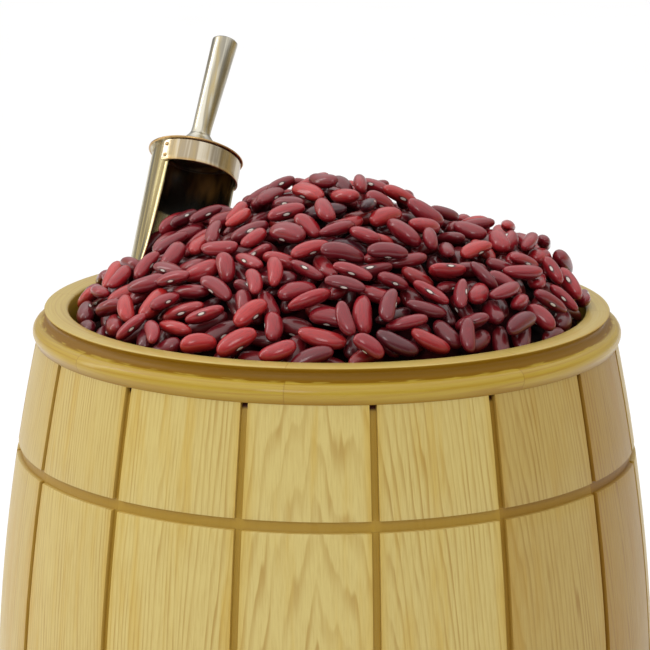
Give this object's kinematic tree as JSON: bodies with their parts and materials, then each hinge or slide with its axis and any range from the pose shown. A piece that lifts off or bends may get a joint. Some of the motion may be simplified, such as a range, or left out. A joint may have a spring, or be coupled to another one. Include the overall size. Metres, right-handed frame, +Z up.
{
  "type": "display barrel of dried kidney beans",
  "caption": "Small bowed pine barrel with a turned rim, heaped with dried red kidney beans, with a small round-backed steel scoop standing in the heap.",
  "frame": {"origin": "the lowest point of the object under the centre of its bounding box, which is the centre of the barrel's base", "axes": "+Z up, -Y towards the front, where the picture was taken from; +X to the viewer's right"},
  "size_m": [0.2888, 0.2888, 0.5065],
  "materials": {
    "stave_wood": "satin varnished pine",
    "rim_wood": "gloss varnished pine",
    "bean_skin": "smooth satin bean skins, dark red",
    "scoop_steel": "polished stainless steel"
  },
  "bodies": {
    "root": {"stave_01": "stave_wood", "stave_02": "stave_wood", "stave_03": "stave_wood", "stave_04": "stave_wood", "stave_05": "stave_wood", "stave_06": "stave_wood", "stave_07": "stave_wood", "stave_08": "stave_wood", "stave_09": "stave_wood", "stave_10": "stave_wood", "stave_11": "stave_wood", "stave_12": "stave_wood", "stave_13": "stave_wood", "stave_14": "stave_wood", "stave_15": "stave_wood", "stave_16": "stave_wood", "bottom_board": "stave_wood", "rim": "rim_wood", "beans": "bean_skin", "scoop_bowl": "scoop_steel", "scoop_strap": "scoop_steel", "scoop_handle": "scoop_steel"}
  },
  "joints": []
}
